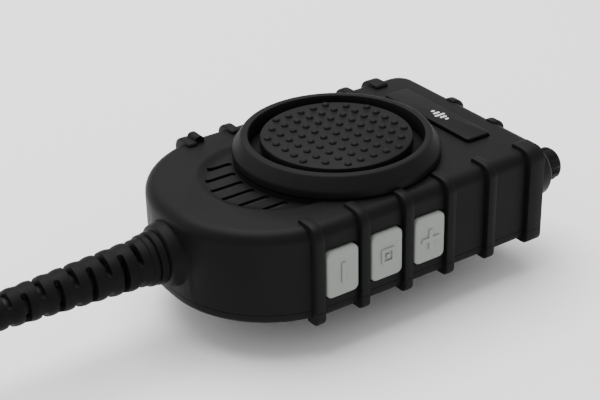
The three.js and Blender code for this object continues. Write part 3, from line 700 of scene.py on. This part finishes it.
class MICROPHONE_OT_housing(bpy.types.Operator):
    """Models the front housing: ribs, speaker recess with its slots, key windows, boss and collar"""
    bl_idname = "microphone.housing"
    bl_label = "Front housing"

    def execute(self, context):
        size = sizes()
        face = size.front_face / MM
        low = size.parting / MM + 0.12
        ceiling = face - 2.4
        end = size.cable_end / MM
        top = size.top_end / MM
        axis = size.axis_height / MM
        button = (size.button_x / MM, 0, 0)
        body = case_block("Front_housing_moulding", 0, low - 1, face)
        round_edges(body, level(2, face), size.edge_radius / MM, 8)
        ring_clear = cylinder("Ring clearance", 27.6, face - 0.2, 60, button)
        for rib in ribs(low - 2, face + 1, 25, 0, 3.6):
            combine(rib, ring_clear, keep=True)
            combine(body, rib, "UNION")
        bpy.data.objects.remove(ring_clear, do_unlink=True)
        for y in END_RIBS:
            rib = block("End rib", (top - 2.6, top + 1.6), (y - 1.6, y + 1.6), (low - 2, face + 0.25))
            round_edges(rib, both(level(0, top + 1.6), level(2, face + 0.25)), 3.0, 6)
            for side in (y - 1.6, y + 1.6):
                round_edges(rib, level(1, side), 0.4, 2)
            combine(body, rib, "UNION")
        collar = turned("Collar", [
            (9.4, end + 1.6), (9.2, end + 0.9), (8.8, end + 0.5), (8.6, end - 0.2), (8.3, end - 1.6),
            (8.0, end - 2.6), (7.4, end - 2.9),
        ], (0, 0, axis), "X", 64)
        boss = turned("Boss", [
            (7.6, top - 1.2), (7.5, top + 0.4), (7.2, top + 4.4), (6.9, top + 4.9), (5.7, top + 6.1),
            (5.4, top + 6.3),
        ], (0, size.boss_y / MM, axis), "X", 64)
        ear = block("Lanyard ear", (-28.9, -25.95), (26.25, 30.15), (face - 4, face + 1.85))
        round_edges(ear, both(along(1), level(2, face + 1.85)), 1.2, 5)
        combine(body, [collar, boss, ear], "UNION")
        combine(body, block("Below the parting line", (-90, 90), (-60, 60), (0, low)))
        cavity = case_block("Cavity", size.wall / MM, 0, ceiling)
        round_edges(cavity, level(2, ceiling), 1.2, 3)
        combine(body, cavity)
        well = cylinder("Spring well", 12.6, ceiling - 3.1, face - 1, button)
        combine(body, well, "UNION")
        combine(body, cylinder("Mesh seat", 16.8, ceiling - 1, face - 1.8, (-31.5, 0, 0)))
        rim = size.recess_radius / MM
        recess = turned("Recess", [
            (rim - 3.4, face - 1.3), (rim - 2.6, face - 1.25), (rim - 1.7, face - 1.02),
            (rim - 0.9, face - 0.66), (rim - 0.2, face - 0.3), (rim + 0.4, face - 0.06),
            (rim + 0.8, face + 0.03), (rim + 1.0, face + 0.6),
        ], (size.recess_x / MM, 0, 0), segments=96)
        combine(recess, cylinder("Ring stand", 27.2, 0, 60, button, segments=96))
        combine(body, recess)
        tools = [
            cylinder("Spring bore", 11, ceiling - 1.6, 60, button), cylinder("Hub bore", 6.6, 0, 60, button),
        ]
        for y in SLOT_ROWS:
            first = size.recess_x / MM - math.sqrt((rim - 1.5) ** 2 - y * y) + 0.2
            last = size.button_x / MM - math.sqrt(27.3 ** 2 - y * y) - 0.3
            slot = block("Slot", (first, last), (y - 0.9, y + 0.9), (face - 6, face))
            round_edges(slot, along(2), 0.88, 5)
            tools.append(slot)
        for index in range(3):
            x = (size.first_rib + (index + 0.5) * size.rib_pitch) / MM
            window = block("Key window", (x - 5.15, x + 5.15), (-40, -26), (axis - 7.6, axis + 6.0))
            round_edges(window, along(1), 1.7, 5)
            tools.append(window)
        tools.append(cylinder("Gland bore", 5.2, -70, -48, (0, 0, axis), "X"))
        tools.append(cylinder("Socket bore", 4.2, top - 8, 70, (0, size.boss_y / MM, axis), "X"))
        x, y = PLATE
        pocket = block("Plate pocket", (x - 4.2, x + 4.2), (y - 18.3, y + 18.3), (face - 0.8, face + 4))
        round_edges(pocket, along(2), 1.4, 5)
        tools.append(pocket)
        tools.append(cylinder("Lanyard hole", 0.75, 20, 36, (-27.4, 0, face + 0.8), "Y", 32))
        combine(body, tools)
        smooth(body)
        fit(body, "case", FINISHES["case"], "case_plastic", "front_housing")
        return {"FINISHED"}


class MICROPHONE_OT_rear_cover(bpy.types.Operator):
    """Models the rear cover with the lower ends of the ribs and its feet"""
    bl_idname = "microphone.rear_cover"
    bl_label = "Rear cover"

    def execute(self, context):
        size = sizes()
        low = size.rear_face / MM
        high = size.parting / MM
        cover = case_block("Rear_cover_moulding", 0, low, high + 2)
        round_edges(cover, level(2, low), 1.6, 5)
        for rib in ribs(low - 1.3, high + 1, 28.3, 1.9, 0):
            combine(cover, rib, "UNION")
        for y in END_RIBS:
            rib = block("End rib", (43, 46.7), (y - 1.6, y + 1.6), (low + 0.6, high + 1))
            round_edges(rib, both(level(0, 46.7), level(2, low + 0.6)), 0.8, 3)
            combine(cover, rib, "UNION")
        for y in (-26, 26):
            foot = block("Foot", (29.7, 35.1), (y - 2.5, y + 2.5), (low - 1.3, low + 1))
            round_edges(foot, along(2), 1.2, 4)
            round_edges(foot, level(2, low - 1.3), 0.4, 2)
            combine(cover, foot, "UNION")
        combine(cover, block("Above the parting line", (-90, 90), (-60, 60), (high, 40)))
        tools = [cylinder("Hub hole", 3.3, 0, 30)]
        for x, y in CASE_SCREWS:
            tools.append(cylinder("Screw hole", 1.6, 0, 30, (x, y, 0), segments=24))
            tools.append(cylinder("Counterbore", 2.7, 0, low + 1.4, (x, y, 0), segments=48))
        groove = turned("Turntable groove", [
            (15.4, low - 1), (16.2, low - 1), (16.2, low + 0.4), (15.4, low + 0.4), (15.4, low - 1),
        ])
        combine(cover, [*tools, groove])
        smooth(cover)
        fit(cover, "case", FINISHES["case"], "case_plastic", "rear_cover")
        return {"FINISHED"}


class MICROPHONE_OT_bezel_ring(bpy.types.Operator):
    """Models the raised ring round the talk button"""
    bl_idname = "microphone.bezel_ring"
    bl_label = "Bezel ring"

    def execute(self, context):
        ring = turned("Bezel_ring_moulding", [
            (23, 1.5), (25.9, 1.5), (25.9, 0.3), (27.1, 0.3), (27.3, 0.5), (27.3, 2.2), (27.2, 2.5),
            (26.9, 2.9),
            (25.2, 5.4), (24.9, 5.7), (24.5, 5.8), (23.5, 5.8), (23.15, 5.72), (23, 5.4), (23, 1.5),
        ], (sizes().button_x / MM, 0, sizes().front_face / MM), segments=160)
        smooth(ring)
        fit(ring, "case", FINISHES["case"], "case_plastic", "bezel_ring")
        return {"FINISHED"}


class MICROPHONE_OT_talk_button(bpy.types.Operator):
    """Models the round talk button, its hub and its studs"""
    bl_idname = "microphone.talk_button"
    bl_label = "Talk button"

    def execute(self, context):
        size = sizes()
        face = size.front_face / MM
        reach = size.button_radius / MM
        top = face + 5.3
        cap = turned("Talk_button", [
            (5.8, 26.2), (6, 26.4), (6, 28.8), (5.2, 28.8), (5.2, 29.8), (6, 29.8), (6, face + 2.6),
            (reach - 0.2, face + 2.6), (reach, face + 2.8), (reach, top - 0.6), (reach - 0.18, top - 0.2),
            (reach - 0.6, top),
        ], (size.button_x / MM, 0, 0), segments=128)
        stud = turned("Stud", [
            (1.02, top - 0.2), (1.0, top + 0.16), (0.86, top + 0.4), (0.58, top + 0.57), (0.25, top + 0.63),
        ], (size.button_x / MM, 0, 0), segments=20)
        studs = []
        for across in range(-4, 5):
            for along_x in range(-4, 5):
                if across * across + along_x * along_x <= 20:
                    pitch = size.stud_pitch / MM
                    studs.append(copy_of(stud, along_x * pitch, across * pitch))
        bpy.data.objects.remove(stud, do_unlink=True)
        button = merge("Talk_button", [cap, *studs])
        activate(button)
        bpy.ops.object.shade_smooth_by_angle(angle=math.radians(35))
        fit(button, "ptt", FINISHES["button"], "button_rubber", "ptt_button")
        return {"FINISHED"}


class MICROPHONE_OT_label_plate(bpy.types.Operator):
    """Models the label plate with a plain printed sign of rising bars"""
    bl_idname = "microphone.label_plate"
    bl_label = "Label plate"

    def execute(self, context):
        face = sizes().front_face / MM
        x, y = PLATE
        plate = block("Label_plate_inlay", (x - 3.9, x + 3.9), (y - 18, y + 18), (face - 0.5, face + 1))
        round_edges(plate, along(2), 1.1, 6)
        round_edges(plate, level(2, face + 1), 0.35, 3)
        smooth(plate)
        fit(plate, "case", FINISHES["plate"], "plate_plastic", "label_plate")
        bars = []
        for index, tall in enumerate((1.2, 2.2, 3.4, 2.2, 1.2)):
            across = y - 1.6 + (index - 2) * 1.5
            ink = (face + 0.96, face + 1.03)
            bar = block("Bar", (x - tall / 2, x + tall / 2), (across - 0.4, across + 0.4), ink)
            round_edges(bar, along(2), 0.38, 4)
            bars.append(bar)
        sign = merge("Sound_sign", bars)
        smooth(sign)
        fit(sign, "case", FINISHES["icon"], "plate_plastic")
        return {"FINISHED"}


class MICROPHONE_OT_side_keys(bpy.types.Operator):
    """Models the three side keys with their raised signs"""
    bl_idname = "microphone.side_keys"
    bl_label = "Side keys"

    def sign(self, index, x, z):
        """A bar, a square with a dot, or a cross, standing on the key's face."""
        front = (-32.95, -32.3)
        upright = block("Upright", (x - 0.6, x + 0.6), front, (z - 2.8, z + 2.8))
        if index == 0:
            parts = [upright]
        elif index == 2:
            arm = block("Level", (x - 2.8, x + 2.8), front, (z - 0.6, z + 0.6))
            parts = [combine(upright, arm, "UNION")]
        else:
            bpy.data.objects.remove(upright, do_unlink=True)
            frame_block = block("Frame", (x - 2.0, x + 2.0), front, (z - 2.1, z + 2.1))
            round_edges(frame_block, along(1), 0.4, 3)
            combine(frame_block, block("Hole", (x - 1.2, x + 1.2), (-40, -30), (z - 1.3, z + 1.3)))
            parts = [frame_block, block("Dot", (x - 0.55, x + 0.55), front, (z - 0.55, z + 0.55))]
        for part in parts:
            soften(part, 0.12, 2, 50)
        return parts

    def execute(self, context):
        size = sizes()
        z = size.front_face / MM - 13.2
        keys = (
            ("Volume_down_keycap", "volume_down"), ("Function_keycap", "function"),
            ("Volume_up_keycap", "volume_up"),
        )
        for index, (name, body) in enumerate(keys):
            x = (size.first_rib + (index + 0.5) * size.rib_pitch) / MM
            key = block(name, (x - 4.8, x + 4.8), (-32.5, -28.0), (z - 6.45, z + 6.45))
            round_edges(key, along(1), 1.7, 6)
            round_edges(key, level(1, -32.5), 0.6, 4)
            flange = block("Flange", (x - 5.5, x + 5.5), (-28.5, -27.7), (z - 7.4, z + 7.4))
            round_edges(flange, along(1), 1.7, 4)
            stem = cylinder("Stem", 1.8, -28, -26.4, (x, 0, z), "Y", 32)
            combine(key, [flange, stem, *self.sign(index, x, z)], "UNION")
            smooth(key)
            fit(key, body, FINISHES["keys"], "key_plastic", body + "_key")
        return {"FINISHED"}


class MICROPHONE_OT_socket_cap(bpy.types.Operator):
    """Models the scalloped cap that closes the accessory socket"""
    bl_idname = "microphone.socket_cap"
    bl_label = "Socket cap"

    def execute(self, context):
        size = sizes()
        at = (0, size.boss_y / MM, size.axis_height / MM)
        start = size.top_end / MM + 6.6
        cap = turned("Socket_cap_moulding", [
            (2.0, size.top_end / MM), (2.1, size.top_end / MM + 0.2), (2.1, start), (4.5, start),
            (4.6, start + 0.1), (4.6, 55.3), (4.4, 55.8), (4.0, 56.25), (3.5, 56.5),
        ], at, "X", 96)
        flutes = []
        for index in range(8):
            angle = index / 8 * math.tau
            place = (0, at[1] + 5.4 * math.cos(angle), at[2] + 5.4 * math.sin(angle))
            flutes.append(cylinder("Flute", 1.3, start + 1, 58, place, "X", 32))
        combine(cap, flutes)
        soften(cap, 0.15, 2, 45)
        smooth(cap)
        fit(cap, "socket_cover", FINISHES["rubber"], "cap_rubber", "socket_cap")
        return {"FINISHED"}


class MICROPHONE_OT_clip(bpy.types.Operator):
    """Models the turning base and the sprung lever of the rear clip"""
    bl_idname = "microphone.clip"
    bl_label = "Rear clip"

    def execute(self, context):
        base = block("Clip_base_moulding", (-24, 14), (-11, 11), (8.4, 10.7))
        round_edges(base, along(2), 3, 6)
        round_edges(base, level(2, 8.4), 0.5, 3)
        turntable = cylinder("Turntable", 13, 8.8, 10.7, segments=96)
        post = turned("Post", [
            (3, 10.2), (3, 14.5), (2.5, 14.5), (2.5, 15.1), (3, 15.1), (3, 15.4), (2.8, 15.6),
        ], segments=48)
        combine(base, [turntable, post], "UNION")
        parts = []
        for side in (-1, 1):
            y = side * 9.6
            ear = block("Ear", (2.6, 9.4), (y - 0.9, y + 0.9), (3.2, 9))
            round_edges(ear, both(along(1), level(2, 3.2)), 2.4, 6)
            parts.append(ear)
        lip = block("Lip", (-24, -22.4), (-10, 10), (6.6, 9))
        round_edges(lip, both(along(1), level(2, 6.6)), 0.6, 3)
        combine(base, [*parts, lip], "UNION")
        combine(base, cylinder("Pin hole", 1.4, -20, 20, (6, 0, 5.2), "Y", 32))
        smooth(base)
        fit(base, "clip_turntable", FINISHES["clip"], "clip_plastic", "clip_base")
        lever = block("Clip_lever_moulding", (-24, 22), (-11, 11), (0, 2.2))
        round_edges(lever, along(2), 3, 6)
        round_edges(lever, level(2, 0), 0.5, 3)
        grips = []
        for index in range(5):
            x = 11 + index * 2
            grips.append(block("Grip groove", (x - 0.5, x + 0.5), (-8, 8), (-1, 0.4)))
        combine(lever, grips)
        parts = []
        for side in (-1, 1):
            y = side * 7.2
            ear = block("Ear", (3, 9), (y - 0.9, y + 0.9), (1.5, 7.4))
            round_edges(ear, both(along(1), level(2, 7.4)), 2.2, 6)
            parts.append(ear)
        for index in range(3):
            x = -24 + index * 3
            tooth = block("Tooth", (x, x + 1.6), (-10, 10), (1.5, 6.3 - index * 1.2))
            round_edges(tooth, both(along(1), level(2, 6.3 - index * 1.2)), 0.5, 3)
            parts.append(tooth)
        combine(lever, parts, "UNION")
        combine(lever, cylinder("Pin hole", 1.4, -20, 20, (6, 0, 5.2), "Y", 32))
        smooth(lever)
        fit(lever, "clip_jaw", FINISHES["clip"], "clip_plastic", "clip_lever")
        return {"FINISHED"}


class MICROPHONE_OT_inner_pieces(bpy.types.Operator):
    """Gives the fasteners, boards, seals and inner pieces their finishes"""
    bl_idname = "microphone.inner_pieces"
    bl_label = "Fasteners and inner pieces"

    def execute(self, context):
        finish_of = {
            "steel": "steel", "brass": "brass", "circuit_board": "board", "black_rubber": "rubber",
            "dark_plastic": "clip", "cone_paper": "paper", "silicone": "mat", "wire_jacket": "wire",
            "cord_jacket": "jacket", "plug_metal": "pins", "strap_fabric": "strap",
        }
        slots = {part["node"]: part["material_slot"] for part in frame["record"]["subparts"]}
        for name, node in frame["nodes"].items():
            if node.hide_render:
                continue
            finish = FINISHES["mesh" if name == "speaker_mesh" else finish_of[slots[name]]]
            if not node.material_slots:
                node.data.materials.append(finish)
            for place in node.material_slots:
                place.material = finish
        return {"FINISHED"}


class MICROPHONE_PT_panel(bpy.types.Panel):
    """Lists the pieces and their sizes"""
    bl_label = "Hand Microphone"
    bl_idname = "MICROPHONE_PT_panel"
    bl_space_type = "VIEW_3D"
    bl_region_type = "UI"
    bl_category = "Microphone"

    def draw(self, context):
        for group in (context.scene.microphone_sizes, context.scene.microphone_colours):
            for key in group.bl_rna.properties.keys():
                if key not in {"rna_type", "name"}:
                    self.layout.prop(group, key)
        for step in STEPS:
            self.layout.operator(step.bl_idname)


STEPS = (
    MICROPHONE_OT_stage, MICROPHONE_OT_lead, MICROPHONE_OT_housing, MICROPHONE_OT_rear_cover,
    MICROPHONE_OT_bezel_ring, MICROPHONE_OT_talk_button, MICROPHONE_OT_label_plate, MICROPHONE_OT_side_keys,
    MICROPHONE_OT_socket_cap, MICROPHONE_OT_clip, MICROPHONE_OT_inner_pieces,
)
CLASSES = (MicrophoneSizes, MicrophoneColours, *STEPS, MICROPHONE_PT_panel)


def register():
    for kind in CLASSES:
        bpy.utils.register_class(kind)
    bpy.types.Scene.microphone_sizes = bpy.props.PointerProperty(type=MicrophoneSizes)
    bpy.types.Scene.microphone_colours = bpy.props.PointerProperty(type=MicrophoneColours)


def unregister():
    del bpy.types.Scene.microphone_colours
    del bpy.types.Scene.microphone_sizes
    for kind in reversed(CLASSES):
        bpy.utils.unregister_class(kind)


def main():
    register()
    make_finishes()
    bpy.ops.microphone.stage()
    bpy.ops.microphone.lead()
    bpy.ops.microphone.housing()
    bpy.ops.microphone.rear_cover()
    bpy.ops.microphone.bezel_ring()
    bpy.ops.microphone.talk_button()
    bpy.ops.microphone.label_plate()
    bpy.ops.microphone.side_keys()
    bpy.ops.microphone.socket_cap()
    bpy.ops.microphone.clip()
    bpy.ops.microphone.inner_pieces()
    deselect()


if __name__ == "__main__":
    main()
